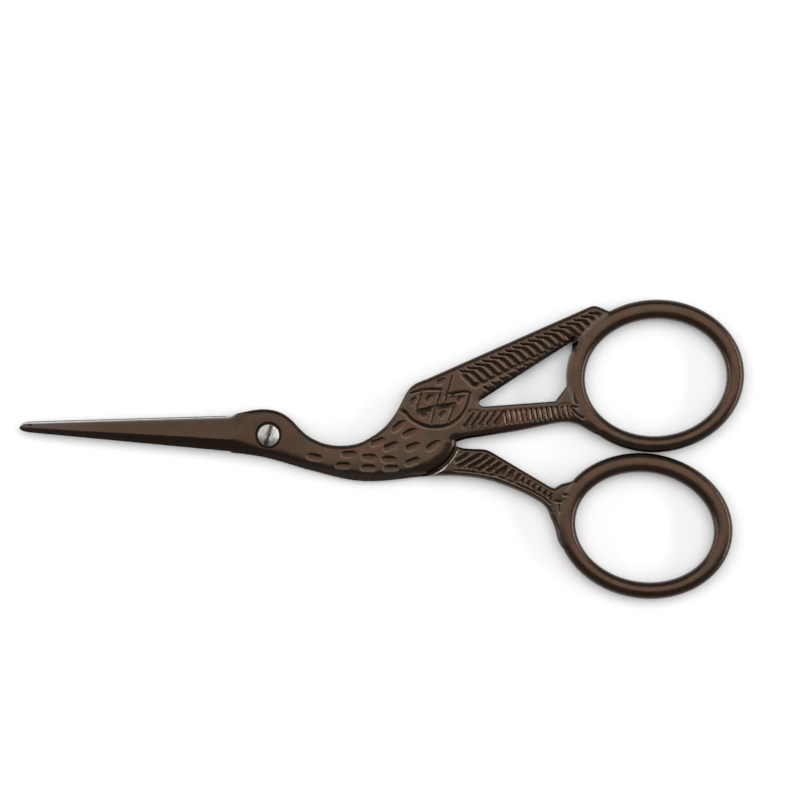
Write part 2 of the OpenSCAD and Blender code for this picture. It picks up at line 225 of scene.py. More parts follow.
SHANK_DOTS = [(40.8, -5.45), (41.75, -5.9), (42.65, -6.4), (43.55, -6.85), (44.45, -7.35), (45.3, -7.8)]
SHANK_GROOVE = [(29.9, -4.4), (32, -4.42), (33.6, -4.6), (35.2, -4.8), (37, -5.1), (38.6, -5.65),
                (40.4, -6.35), (42.4, -7.2), (44.2, -8.2), (45.4, -9.1)]
SHANK_BRANCHES = [[(46.1, -8.65), (47.1, -8.75)], [(47.45, -7.6), (47.95, -7.65)],
                  [(46.85, -9.3), (46.9, -10.3)]]


def smooth(knots, parts=8):
    """Points of a smooth line through the knots."""
    k = np.asarray(knots, float)
    p = np.vstack((k[:1], k, k[-1:]))
    t = (np.arange(parts) / parts)[:, None]
    spans = [
        (2 * b + (c - a) * t + (2 * a - 5 * b + 4 * c - d) * t**2 + (3 * b - a - 3 * c + d) * t**3) / 2
        for a, b, c, d in zip(p[:-3], p[1:-2], p[2:-1], p[3:])
    ]
    return np.vstack(spans + [k[-1:]])


def even(line, step):
    """The same line with its points evenly spaced, about a step apart."""
    line = np.asarray(line, float)
    along = np.r_[0, np.cumsum(np.hypot(*np.diff(line, axis=0).T))]
    s = np.linspace(0, along[-1], max(1, round(along[-1] / step)) + 1)
    return np.column_stack([np.interp(s, along, line[:, i]) for i in (0, 1)])


def turned(points, angle):
    """Plan points turned about the screw."""
    c, s = math.cos(angle), math.sin(angle)
    return np.asarray(points, float) @ np.array([[c, s], [-s, c]])


def ellipse(loop, angles, hole=False):
    """Points of a finger loop's outside or opening at these angles."""
    middle, half = (loop[2], loop[3]) if hole else (loop[0], loop[1])
    flat = np.column_stack((half[0] * np.cos(angles), half[1] * np.sin(angles)))
    return turned(flat, loop[4]) + middle


def ellipse_place(points, loop, hole=False):
    """Angle on a finger loop's ellipse, and distance from its middle as a share of its size."""
    middle, half = (loop[2], loop[3]) if hole else (loop[0], loop[1])
    flat = turned(np.asarray(points, float) - middle, -loop[4]) / half
    return np.arctan2(flat[:, 1], flat[:, 0]), np.hypot(*flat.T)


def full_circle(steps):
    """Evenly spaced angles round a circle."""
    return np.linspace(0, 2 * math.pi, steps, endpoint=False)


def nearest(points, starts, ends):
    """Distance to the nearest of these segments, which one it is, and how far along it."""
    run = ends - starts
    size = np.maximum((run**2).sum(1), 1e-12)
    gap, which, along = np.empty(len(points)), np.empty(len(points), int), np.empty(len(points))
    for first in range(0, len(points), 1000):
        part = slice(first, first + 1000)
        dx = points[part, 0, None] - starts[:, 0]
        dy = points[part, 1, None] - starts[:, 1]
        t = np.clip((dx * run[:, 0] + dy * run[:, 1]) / size, 0, 1)
        square = (dx - t * run[:, 0])**2 + (dy - t * run[:, 1])**2
        best = square.argmin(1)
        row = np.arange(len(best))
        gap[part], which[part], along[part] = np.sqrt(square[row, best]), best, t[row, best]
    return gap, which, along


def away_from(points, lines):
    """Each point's offset from the nearest of several open lines."""
    lines = [np.asarray(line, float) for line in lines]
    starts, ends = np.vstack([line[:-1] for line in lines]), np.vstack([line[1:] for line in lines])
    _, which, along = nearest(points, starts, ends)
    return points - starts[which] - along[:, None] * (ends - starts)[which]


def gap_to(points, lines):
    """Distance to the nearest of several open lines."""
    return np.hypot(*away_from(points, lines).T)


def inside(points, loops):
    """Whether each point lies within an odd number of the closed loops."""
    odd = np.zeros(len(points), bool)
    x, y = points[:, 0], points[:, 1]
    for loop in loops:
        for (ax, ay), (bx, by) in zip(loop, np.roll(loop, -1, 0)):
            if ay != by:
                odd ^= ((ay > y) != (by > y)) & (x < (bx - ax) * (y - ay) / (by - ay) + ax)
    return odd


def ramp(value, low, high):
    """0 below low, 1 above high, and a smooth rise between."""
    t = np.clip((value - low) / (high - low), 0, 1)
    return t * t * (3 - 2 * t)


def fall(gap, width, drop, end=1.0):
    """Fall of a rounded edge at a distance inside it: a quarter ellipse, up to this share of it."""
    t = end * np.clip(1 - gap / np.maximum(width, 1e-6), 0, 1)
    return drop * (1 - np.sqrt(1 - t * t)) / (1 - math.sqrt(1 - end * end))


def crown(gap, width, drop):
    """How far a gently crowned face has fallen at a distance inside its edge."""
    return drop * np.clip(1 - gap / width, 0, 1)**2


def lower_of(a, b, soft):
    """The lower of two heights, with the crease between them rounded."""
    return np.minimum(a, b) - np.clip(soft - abs(a - b), 0, None)**2 / (4 * soft)


def higher_of(a, b, soft):
    """The higher of two heights, with the crease between them rounded."""
    return -lower_of(-a, -b, soft)


def plane(points, p, q, r):
    """Height of the plane through three points."""
    normal = np.cross(np.subtract(q, p), np.subtract(r, p))
    return p[2] - ((points[:, 0] - p[0]) * normal[0] + (points[:, 1] - p[1]) * normal[1]) / normal[2]


class Outline:
    """A half's outline in sections, each a line with the width and drop of its rounding on both faces."""

    def __init__(self, sections):
        points, rounds, is_loop = [], [], []
        for line, top, bottom, on_loop in sections:
            part = even(line, OUTLINE_STEP)[:-1]
            points.append(part)
            rounds.append(np.tile((*top, *bottom), (len(part), 1)))
            is_loop.append(np.full(len(part), on_loop))
        self.points, self.is_loop = np.vstack(points), np.hstack(is_loop)
        # The rounding changes gradually from one section to the next
        rounds = np.vstack(rounds)
        shifts = range(-5, 6)
        self.rounds = sum(np.roll(rounds, k, 0) for k in shifts) / len(shifts)


class Cloud:
    """Points that the plan is triangulated from."""

    def __init__(self):
        self.points, self.edges = [], []

    def line(self, points, closed=False):
        """Adds a line that the triangles follow exactly."""
        first = len(self.points)
        self.points += [tuple(p) for p in points]
        last = len(self.points)
        self.edges += [(i, i + 1) for i in range(first, last - 1)]
        if closed:
            self.edges.append((last - 1, first))

    def scatter(self, points, apart):
        """Adds the points that are far enough from all earlier ones."""
        tree = KDTree(len(self.points))
        for i, (x, y) in enumerate(self.points):
            tree.insert((x, y, 0), i)
        tree.balance()
        last = (1e9, 1e9)
        for x, y in points:
            if tree.find((x, y, 0))[2] > apart and math.dist((x, y), last) > apart:
                last = (x, y)
                self.points.append(last)


def normals_of(loop):
    """Unit normals to the left of a closed loop's points."""
    run = np.roll(loop, -1, 0) - np.roll(loop, 1, 0)
    run /= np.hypot(*run.T)[:, None]
    return np.column_stack((-run[:, 1], run[:, 0]))


def left_of(line):
    """Unit normals to the left of an open line's points."""
    run = np.gradient(np.asarray(line, float), axis=0)
    run /= np.hypot(*run.T)[:, None]
    return np.column_stack((-run[:, 1], run[:, 0]))


def circle(radius):
    """Points of a circle round the screw."""
    w = full_circle(CIRCLE_STEPS)
    return radius * np.column_stack((np.cos(w), np.sin(w)))


def hex_grid(low, high, step):
    """Points of a triangular grid over a box."""
    rows = []
    for i, y in enumerate(np.arange(low[1], high[1], step * math.sqrt(3) / 2)):
        x = np.arange(low[0] + (i % 2) * step / 2, high[0], step)
        rows.append(np.column_stack((x, np.full_like(x, y))))
    return np.vstack(rows)


def mark_place(points, x, y, angle, half):
    """Place of each point on an oval mark: along and across, both from -1 to 1."""
    return (turned(points - (x, y), -math.radians(angle)) / half).T


def barb_place(i):
    """Place of one of the wing's grooves, and its size as a share of the first one's."""
    return np.add(BARB_FIRST, np.multiply(BARB_PITCH, i)), 1 - BARB_SHRINK * i


def wing_grooves(knots):
    """A groove of the wing repeated along it, a little shorter each time, and ended at the finger loop."""
    lines = []
    for i in range(BARB_COUNT):
        place, share = barb_place(i)
        line = smooth(np.array(knots) * share + place)
        line = line[ellipse_place(line, UPPER_LOOP)[1] > 1.015]
        if len(line) > 3:
            lines.append(line)
    return lines


def barb_ends():
    """Raised lower ends of the wing's barbs with a painted highlight, as oval marks."""
    (x, y), angle, half = BARB_END
    marks = []
    for i in range(BARB_COUNT - 1):
        place, share = barb_place(i)
        middle = place + (x * share, y * share)
        if ellipse_place([middle], UPPER_LOOP)[1][0] > 1.03:
            marks.append((*middle, angle, half))
    return marks


def wing_tufts():
    """Short strokes between the barbs' ends and the wing's lower rim."""
    return [[(34.1 + 1.2 * i, 9.05 + 0.8 * i), (34.8 + 1.2 * i, 8.6 + 0.81 * i)] for i in range(7)]


def leg_strokes():
    """Slanted strokes on the front leg's thigh, and upright ones along the rest of it."""
    slanted = [[(31.1 + 1.2 * i, 2.6 + 0.18 * i), (32.5 + 1.17 * i, 4.7 + 0.13 * i)] for i in range(5)]
    upright = [[(37.95 + 0.82 * i, 3.5 + 0.12 * i), (37.6 + 0.82 * i, 5.25 + 0.1 * i)] for i in range(13)]
    return slanted + upright


def front_grooves():
    """Lines of the carving on the front half, with their half widths, depths and darkness."""
    return [
        (wing_grooves(BARB_HOOK), 0.22, 0.14, 0.6),
        (wing_grooves(BARB) + [smooth(BARB_HALF)], 0.5, 0.2, 0.4),
        (wing_tufts(), 0.28, 0.14, 0.5),
        (leg_strokes(), 0.31, 0.16, 0.4),
        ([smooth(SHIELD_RING)], 0.42, 0.18, 0.45),
        ([smooth(line) for line in LATTICE], 0.28, 0.12, 0.45),
        ([smooth(line) for line in LEG_BRANCHES], 0.27, 0.14, 0.45),
    ]


def back_grooves():
    """Lines of the carving on the back half, with their half widths, depths and darkness."""
    return [
        ([smooth(line) for line in SHANK_STROKES], 0.42, 0.18, 0.4),
        ([[(x - 0.22, y - 0.2), (x + 0.22, y + 0.2)] for x, y in SHANK_DOTS], 0.3, 0.14, 0.5),
        ([smooth(SHANK_GROOVE)], 0.24, 0.08, 0.35),
        (SHANK_BRANCHES, 0.26, 0.12, 0.5),
    ]


def front_fields(points, edge_gap):
    """Where the front half's carved fields lie lower than its plain surface: in the shield and on the leg."""
    x, y = points.T
    shield = ramp(gap_to(points, [smooth(SHIELD_RING)]), 0.1, 0.5) * ramp(edge_gap, 0.9, 1.9)
    shield *= (np.hypot(x - SHIELD[0], y - SHIELD[1]) < SHIELD_R) * ramp(-y, -8.4, -7.2)
    # The leg's field ends just below the window's lower side
    leg = ramp(x, 30.6, 31.6) * ramp(edge_gap, 0.55, 0.9) * ramp(0.116 * (x - 34.3) - y, -5.9, -5.2)
    return np.maximum(shield, leg)


def back_fields(points, edge_gap):
    """Where the back half's carved field lies lower than its plain surface: along the shank."""
    return ramp(points[:, 0], 29.9, 30.7) * ramp(-points[:, 0], -46.4, -45.6) * ramp(edge_gap, 0.5, 0.8)


def strip_share(points):
    """Width of the ground strip, narrower towards the tip, as a share of its width at the head."""
    return 0.55 + 0.45 * ramp(points[:, 0], -38, -9)


class Half:
    """Plan, faces and carving of one half of the scissors."""

    def __init__(self, name, outer, plate, holes, loop, step, flip, size):
        self.name, self.outer, self.holes, self.loop, self.step = name, outer, holes, loop, step
        self.plate, self.flip, self.size = plate, flip, size
        self.grooves = back_grooves() if flip else front_grooves()
        self.fields = back_fields if flip else front_fields
        shift = BACK_SHIFT if flip else 0
        self.marks = [(x, y - shift, turn, FEATHER_HALF, FEATHER_DEPTH) for x, y, turn in FEATHERS]
        self.marks += [] if flip else [(*dimple, DIMPLE_DEPTH) for dimple in DIMPLES]
        self.ends = [] if flip else barb_ends()
        edges = [outer] + [h for h in holes if h.rounds.any()]
        starts, ends, rounds = [], [], []
        for edge in edges:
            keep = ~edge.is_loop
            starts.append(edge.points[keep])
            ends.append(np.roll(edge.points, -1, 0)[keep])
            rounds.append(edge.rounds[keep])
        self.edge_from, self.edge_to, self.rounds = map(np.vstack, (starts, ends, rounds))

    def loops(self):
        """The half's outline and its holes."""
        return [self.outer.points] + [h.points for h in self.holes]

    def cutting_line(self):
        """The line that the blade is ground along, from the tip into the notch."""
        if self.flip:
            return np.vstack((even(BACK_EDGE[::-1], 1.0)[:-1], smooth(BACK_NOTCH[::-1])[:-6]))
        return np.vstack((even(CUTTING_EDGE, 1.0)[:-1], smooth(NOTCH)[:-3]))

    def blade(self, points):
        """Height of the blade's faces, and of its ground edge."""
        p = points * (1, -1) if self.flip else points
        upper = higher_of(plane(p, RIDGE, RIDGE_TIP, EDGE_SIDE), plane(p, RIDGE, HEAD_HIGH, EDGE_ROOT), 0.25)
        lower = higher_of(plane(p, RIDGE, RIDGE_TIP, BACK_SIDE), plane(p, RIDGE, HEAD_LOW, BACK_SIDE), 0.25)
        faces = lower_of(upper, lower, 0.12)
        cut = gap_to(points, [self.cutting_line()])
        ground = EDGE_Z + cut * EDGE_SLOPE / strip_share(points)
        ground[points[:, 0] > GROUND_END] = ABOVE_ALL
        return faces, ground

    def carving(self, points, edge_gap):
        """Depth of the carving, its darker coat and painted shade, height of its lips, and the painted
        highlight on them.
        """
        depth, dark, lip, rubbed = np.zeros((4, len(points)))
        for lines, half_width, deep, darkness in self.grooves:
            away = away_from(points, lines)
            near = np.hypot(*away.T)
            share = np.clip(1 - near / half_width, 0, 1)
            depth = np.maximum(depth, deep * share**1.4)
            # Darker coat in the groove, with painted shade
            dark = np.maximum(dark, darkness * ramp(share, 0.35, 0.95))
            edge = np.clip(1 - abs(near - half_width) / LIP, 0, 1)
            lip = np.maximum(lip, edge)
            # Painted highlight on the lip beside the groove, on the side away from the light, where the
            # groove's wall faces it
            facing = away @ LIGHT_FROM / np.maximum(near, 1e-6)
            rubbed = np.maximum(rubbed, edge * np.clip(0.22 - 0.43 * facing, 0, 1))
        for x, y, angle, size, deep in self.marks:
            along, across = mark_place(points, x, y, angle, size)
            half = np.sqrt(np.clip(1 - along**4, 1e-6, 1))
            share = across / half
            floor = half * np.clip(np.minimum((share + 1) / (CREASE + 1), (1 - share) / (1 - CREASE)), 0, 1)
            depth = np.maximum(depth, deep * floor)
            # Darker coat on the mark's deep floor, with painted shade
            dark = np.maximum(dark, 0.75 * ramp(floor, 0.2, 1.15))
            edge = np.clip(1 - abs(along**4 + across**2 - 1.1) / 0.45, 0, 1)
            # Painted highlight round the lower left rim of the mark, the side whose wall faces the light
            rubbed = np.maximum(rubbed, edge * np.clip(0.05 - 0.55 * along - 0.5 * across, 0, 1))
        for x, y, angle, size in self.ends:
            # Each barb's end is raised, and painted bright as a highlight
            blob = ramp(-np.hypot(*mark_place(points, x, y, angle, size)), -1, -0.2)
            lip = np.maximum(lip, blob)
            rubbed = np.maximum(rubbed, 0.8 * blob)
            depth = depth * (1 - 0.6 * blob)
        shallow = ramp(edge_gap, 0.25, 0.6)
        return depth * shallow, dark * shallow, lip * shallow, rubbed * shallow * (depth < 0.12)

    def in_wire(self, points):
        """Whether each point lies in the finger loop's wire."""
        within = ellipse_place(points, self.loop)[1] < 1.001
        return within & (ellipse_place(points, self.loop, True)[1] > 0.999)

    def outer_height(self, points, bottom):
        """Height of an outer face above the plane where the halves meet, with its masks."""
        edge_gap, which, _ = nearest(points, self.edge_from, self.edge_to)
        width, drop = self.rounds[which][:, (2, 3) if bottom else (0, 1)].T
        half_t = self.size["half_t"]
        x, y = points.T
        outline = ellipse(self.loop, full_circle(WIRE_STEPS))
        opening = ellipse(self.loop, full_circle(WIRE_STEPS), hole=True)
        to_outline = nearest(points, outline, np.roll(outline, -1, 0))[0]
        to_opening = nearest(points, opening, np.roll(opening, -1, 0))[0]
        wire = self.in_wire(points)
        # The plate lies a little lower where it meets the loop's wire
        near_loop = 1 - ramp(np.where(wire, 0, to_outline), 0.2, 2.6)
        level = half_t - near_loop * (0.3 * ramp(y, 13, 16) + 0.12 * ramp(-y, 7, 9))
        if not self.flip:
            (hollow_x, hollow_y), deep, spread = HOLLOW
            level -= deep * np.exp(-((x - hollow_x)**2 + (y - hollow_y)**2) / spread)
        level -= crown(edge_gap, *CROWN)
        depth, dark, lip, rubbed = self.carving(points, edge_gap)
        field = self.fields(points, edge_gap) * ramp(np.where(wire, 0, to_outline), 0.1, 0.5)
        level -= FIELD_DEPTH * field - LIP_RISE * lip * field
        plate = level - fall(edge_gap, width, drop, ROUND_END) - depth
        faces, ground = self.blade(points)
        on_blade = x < 6
        plate[on_blade] = lower_of(plate, faces, 0.1)[on_blade]
        # The narrow ground strip is half worn, so it never counts as quite bare
        bare = np.minimum((plate - ground) / EDGE_SLOPE, -0.004)
        plate = np.minimum(plate, ground)
        wire_gap = np.minimum(to_outline, to_opening)
        wire_height = half_t - fall(wire_gap, *LOOP_ROUND)
        wire_height -= crown(wire_gap, *WIRE_CROWN)
        on_plate = ~wire | inside(points, [self.plate])
        height = np.where(wire, np.where(on_plate, higher_of(plate, wire_height, 0.1), wire_height), plate)
        height = np.minimum(height, half_t)
        if not self.flip and not bottom:
            radius = np.hypot(x, y)
            recess = self.size["recess_r"]
            outside = radius > recess - STEP_WALL / 2
            height -= np.where(outside, fall(radius - recess, 0.12, 0.06), 0)
            height[~outside] = half_t - self.size["recess_h"]
            # Painted shade: the recess round the screw's head takes the carving's darkest coat
            dark[radius < recess + 0.01] = 1
        rim = np.where(wire, wire_gap, edge_gap)
        return height, {"dark": dark, "rubbed": rubbed, "bare": bare}, rim

    def step_side(self, points):
        """Distance beyond the step, on the side where this half has its full thickness."""
        gap = gap_to(points, [self.step["line"]])
        return np.where(inside(points, [self.step["area"]]), gap, -gap)

    def faces(self, points):
        """Upper and lower heights of the half over its plan, and masks for its finish."""
        x = points[:, 0]
        meet = self.size["face_gap"] / 2
        side = self.step_side(points)
        thick = side > STEP_WALL / 2
        outer, outer_masks, rim = self.outer_height(points, self.flip)
        inner, masks, _ = self.outer_height(points, not self.flip)
        inner = inner - fall(side - STEP_WALL, *STEP_ROUND)
        edge_gap = nearest(points, self.edge_from, self.edge_to)[0]
        back_gap = gap_to(points, [BACK_SPINE if self.flip else BLADE_BACK])
        # The coat ends a little inside the edges and under the step, and is rubbed off the step's own edge
        rubbed_edge = step_wear(points) - side if self.flip else -1.0
        flat = np.minimum(edge_gap, -side) - COAT_MARGIN
        flat = np.maximum(flat, np.minimum(RIDGE[0] - x, back_gap - SPINE_MARGIN))
        # The inner face slopes off towards the outline, and is rounded at the blade's back
        margin = (0.16 * np.clip(1.1 - edge_gap, 0, 1.1) + fall(edge_gap, 0.14, 0.1)) * ramp(x, -6.5, -4)
        margin += fall(back_gap, SPINE_MARGIN, 0.08) * ramp(-x, 4, 6.5)
        inner = np.where(thick, inner, -meet - margin * (1 if self.flip else 0.4))
        # On the thin part the gap beside the other half's step is darkened: coat left in its corner, and
        # painted shade
        masks = {"dark": np.where(thick, masks["dark"], 0.75 * ramp(side, -0.9, -0.6)),
                 "rubbed": np.where(thick, masks["rubbed"], 0), "bare": np.where(thick, rubbed_edge, flat)}
        top, bottom = (masks, outer_masks) if self.flip else (outer_masks, masks)
        heights = {"top": inner, "bottom": -outer} if self.flip else {"top": outer, "bottom": -inner}
        heights.update({"top_" + name: mask for name, mask in top.items()})
        heights.update({"bottom_" + name: mask for name, mask in bottom.items()})
        heights["rim"] = rim
        return heights

    def cloud(self):
        """Points for the triangles: outlines, rounded rims, steps, the blade's edges, carving and grid."""
        cloud = Cloud()
        for loop in self.loops():
            cloud.line(loop, closed=True)
        cloud.line(self.step["line"])
        cloud.line(self.step["foot"])
        cloud.line(self.step["edge"])
        flip = np.array((1, -1 if self.flip else 1))
        ridge = even([RIDGE_TIP[:2], RIDGE[:2]], 0.8) * flip
        cloud.line(ridge[1:])
        if not self.flip:
            for radius in (self.size["recess_r"] - STEP_WALL, self.size["recess_r"]):
                cloud.line(circle(radius), closed=True)
        cut = self.cutting_line()
        inward = -left_of(cut) * flip[1]
        # The ground strip meets the blade's face where their heights agree
        strip = np.full(len(cut), 0.2)
        for _ in range(4):
            faces, _ = self.blade(cut + inward * strip[:, None])
            strip = (faces - EDGE_Z) * strip_share(cut) / EDGE_SLOPE
        cloud.line((cut + inward * strip[:, None])[1:-1])
        cloud.scatter((cut + inward * (strip[:, None] + 0.09))[1:-1], 0.05)
        everything = self.loops()
        starts = np.vstack(everything)
        ends = np.vstack([np.roll(loop, -1, 0) for loop in everything])
        for gap in RIM_RINGS:
            for edge in [self.outer] + self.holes:
                reach = np.maximum(edge.rounds[:, 0], edge.rounds[:, 2])
                reach = np.where(edge.is_loop, LOOP_ROUND[0], reach)
                for sign in (1, -1):
                    ring = edge.points + sign * gap * normals_of(edge.points)
                    ring = ring[reach * 1.05 + 0.05 > gap]
                    if not len(ring):
                        continue
                    fits = (nearest(ring, starts, ends)[0] > gap * 0.985) & inside(ring, everything)
                    cloud.scatter(ring[fits], min(0.06, gap * 0.6))
        if not self.flip:
            for away in (0.06, 0.14):
                cloud.scatter(circle(self.size["recess_r"] + away), 0.04)
        for lines, half_width, _, _ in self.grooves:
            for line in lines:
                middle = even(line, FINE_STEP)
                across = left_of(middle)
                for away in (0, half_width, half_width / 2, half_width + LIP):
                    for guide in (middle + away * across, middle - away * across):
                        cloud.scatter(guide[inside(guide, everything)], FINE_STEP * 0.45)
        for x, y, angle, size, _ in self.marks:
            for share in (1.0, 0.88, 0.76):
                w = full_circle(34)
                along = np.sign(np.cos(w)) * abs(np.cos(w))**0.5
                ring = np.column_stack((along, np.sin(w))) * size * share
                cloud.scatter(turned(ring, math.radians(angle)) + (x, y), FINE_STEP * 0.55)
        low, high = starts.min(0), starts.max(0)
        fine = hex_grid(low, high, FINE_STEP)
        fine = fine[self.carved_area(fine)]
        coarse = hex_grid(low, high, COARSE_STEP)
        for grid, step in ((fine, FINE_STEP), (coarse, COARSE_STEP)):
            grid = grid[inside(grid, everything)]
            cloud.scatter(grid, step * 0.62)
        return cloud

    def carved_area(self, points):
        """Where the grid is fine: along the body, the wing and the leg."""
        x = points[:, 0]
        body = (x > 5.5) & (x < 50.8)
        return body & (ellipse_place(points, self.loop)[1] > 0.985)

    def mesh(self, material):
        """The half's mesh: its plan is triangulated and extruded, and the faces moved to their heights."""
        cloud = self.cloud()
        verts, _, tris, *_ = delaunay_2d_cdt(
            [Vector(p) for p in cloud.points], cloud.edges, [], 0, 1e-5, False)
        plan = np.array(verts)
        tris = np.array(tris)
        tris = tris[inside(plan[tris].mean(1), self.loops())]
        sheet = bmesh.new()
        number = sheet.verts.layers.int.new("number")
        rim = sheet.verts.layers.float.new("rim")
        dark = sheet.verts.layers.float.new("dark")
        rubbed = sheet.verts.layers.float.new("rubbed")
        bare = sheet.verts.layers.float.new("bare")
        corners = [sheet.verts.new((x, y, 0)) for x, y in plan]
        for i, vert in enumerate(corners):
            vert[number] = i
        for tri in tris.tolist():
            sheet.faces.new([corners[i] for i in tri])
        bmesh.ops.delete(sheet, geom=[v for v in sheet.verts if not v.link_faces], context="VERTS")
        below = set(sheet.verts)
        bmesh.ops.extrude_face_region(sheet, geom=sheet.faces[:])
        side = self.faces(plan)
        for vert in sheet.verts:
            i = vert[number]
            face = "bottom" if vert in below else "top"
            vert.co = SCREW + Vector((vert.co.x, vert.co.y, side[face][i])) * MM
            vert[rim] = side["rim"][i]
            vert[dark] = side[face + "_dark"][i]
            vert[rubbed] = side[face + "_rubbed"][i]
            vert[bare] = min(max(side[face + "_bare"][i], -0.3), 0.3)
        bmesh.ops.recalc_face_normals(sheet, faces=sheet.faces)
        for face in sheet.faces:
            face.smooth = True
        bmesh.ops.triangulate(sheet, faces=[f for f in sheet.faces if len(f.verts) > 3])
        mesh = bpy.data.meshes.new(self.name)
        sheet.to_mesh(mesh)
        sheet.free()
        mesh.attributes.remove(mesh.attributes["number"])
        mesh.set_sharp_from_angle(angle=math.radians(42))
        mesh.materials.append(material)
        return mesh


def loop_section(loop, first, last):
    """The outside of a finger loop, clockwise from one angle to another."""
    return ellipse(loop, np.linspace(first, last, LOOP_STEPS))


def meet_loop(line, loop):
    """The part of a line that lies outside a finger loop, up to where it enters, and that angle."""
    line = even(line, 0.02)
    outside = ellipse_place(line, loop)[1] > 1
    if outside[0]:
        line, end = line[: np.flatnonzero(~outside)[0] + 1], -1
    else:
        line, end = line[np.flatnonzero(outside)[0] - 1:], 0
    angle = ellipse_place(line[[end]], loop)[0][0]
    line[end] = ellipse(loop, np.array([angle]))[0]
    return line, angle


def bored_hole(radius):
    """Outline of a round hole at the screw."""
    w = np.linspace(0, 2 * math.pi, 90)
    return Outline([(radius * np.column_stack((np.cos(w), np.sin(w))), NONE, NONE, False)])


def loop_opening(loop):
    """Outline of a finger loop's opening."""
    w = np.linspace(0, 2 * math.pi, LOOP_STEPS)
    return Outline([(ellipse(loop, w, hole=True), NONE, NONE, True)])


def plate_outline(sections, loop, first, last):
    """Outline of a half's plate, which ends along the middle of the finger loop's wire."""
    angles = np.linspace(first, last, 60)
    middle = (ellipse(loop, angles) + ellipse(loop, angles, True)) / 2
    parts = [middle if on_loop else np.asarray(line, float)[:-1] for line, _, _, on_loop in sections]
    return np.vstack(parts)


def beside(line, gap):
    """A line beside another, to its left, by one gap or by one for each point."""
    return line + np.reshape(gap, (-1, 1)) * left_of(line)


def step_wear(points):
    """Width of the bright edge where the coat has come off a step through wear."""
    return 0.13 + 0.17 * ramp(-points[:, 1], 3.2, 4.8)


def make_step(line, area):
    """The step's line, the foot of its wall, the end of its rubbed edge, and the thick area beyond it."""
    line = even(line, 0.2)
    edge = beside(line, step_wear(line))
    return {"line": line, "foot": beside(line, STEP_WALL), "edge": edge, "area": area}


def front_plan(size):
    """Plan of the front half. Each section has the width and drop of its rounding on top and below."""
    tip, first = meet_loop(smooth(WING_TIP), UPPER_LOOP)
    leg, last = meet_loop(smooth(LEG_LOW), UPPER_LOOP)
    rim, thin, hip = (0.95, 0.5), (0.3, 0.2), (1.15, 0.85)
    sections = [
        (CUTTING_EDGE, NONE, NONE, False),
        (smooth(NOTCH), (0.2, 0.1), NONE, False),
        (smooth(HEAD), rim, NONE, False),
        (smooth(BREAST), (0.85, 0.55), (0.85, 0.55), False),
        (WING_TOP, (0.95, 0.6), (0.95, 0.6), False),
        (tip, (0.8, 0.5), (0.8, 0.5), False),
        (loop_section(UPPER_LOOP, first, last), NONE, NONE, True),
        (leg, hip, hip, False),
        (smooth(RUMP), (2.1, 0.85), (2.1, 0.85), False),
        (smooth(BELLY), (1.1, 0.34), NONE, False),
        (BLADE_BACK, (0.12, 0.08), NONE, False),
        (smooth(TIP), (0.12, 0.08), NONE, False),
    ]
    ends = ellipse_place(WINDOW_SIDE, UPPER_LOOP)[0] % (2 * math.pi)
    side = ellipse(UPPER_LOOP, np.linspace(*ends, 60))
    window = [
        (WINDOW_LOW, thin, thin, False),
        (smooth(WINDOW_END), thin, thin, False),
        (WINDOW_HIGH, (1.15, 0.85), (1.15, 0.85), False),
        ([WINDOW_HIGH[1], side[0]], thin, thin, False),
        (side, NONE, NONE, True),
        ([side[-1], WINDOW_LOW[0]], (0.4, 0.3), (0.4, 0.3), False),
    ]
    holes = [Outline(window), loop_opening(UPPER_LOOP), bored_hole(size["bore_r"])]
    plate = plate_outline(sections, UPPER_LOOP, first, last + 2 * math.pi)
    knots = beside(BACK_RUMP[1:-2], size["step_gap"])
    line = np.vstack(([(20, 5.2)], smooth(knots), [(30.6, 1), (30.9, -0.6)]))
    area = np.vstack(([(20, 40)], line, [(32, -4), (90, -4), (90, 40)]))
    step = make_step(line, area)
    return Half("front_half", Outline(sections), plate, holes, UPPER_LOOP, step, False, size)


def back_plan(size):
    """Plan of the back half, with sections like the front half's."""
    notch, first = meet_loop(smooth(SHANK_NOTCH), LOWER_LOOP)
    low, last = meet_loop(smooth(SHANK_LOW), LOWER_LOOP)
    shank = (0.62, 0.55)
    sections = [
        (BACK_SPINE, NONE, (0.12, 0.08), False),
        (smooth(BACK_NECK), NONE, (0.95, 0.5), False),
        (smooth(BACK_RUMP), (0.2, 0.1), (2.1, 1.15), False),
        (smooth(SHANK_HIGH), shank, shank, False),
        (SHANK_LINE, shank, shank, False),
        (notch, shank, shank, False),
        (loop_section(LOWER_LOOP, first, last), NONE, NONE, True),
        (low, (0.8, 0.7), (0.8, 0.7), False),
        (smooth(BACK_BELLY), NONE, (0.95, 0.65), False),
        (smooth(BACK_NOTCH), NONE, (0.2, 0.1), False),
        (BACK_EDGE, NONE, NONE, False),
        (smooth(BACK_TIP), NONE, (0.12, 0.08), False),
    ]
    holes = [loop_opening(LOWER_LOOP), bored_hole(size["thread_r"])]
    plate = plate_outline(sections, LOWER_LOOP, first, last + 2 * math.pi)
    knots = beside(RUMP[1:-1], size["step_gap"])
    line = np.vstack(([(29.9, 0.6), (30.5, -0.3)], smooth(knots)[2:], [(24.8, -7)]))
    area = np.vstack(([(60, 4)], line, [(24.5, -9), (44, -30), (90, -30), (90, 4)]))
    step = make_step(line, area)
    return Half("back_half", Outline(sections), plate, holes, LOWER_LOOP, step, True, size)


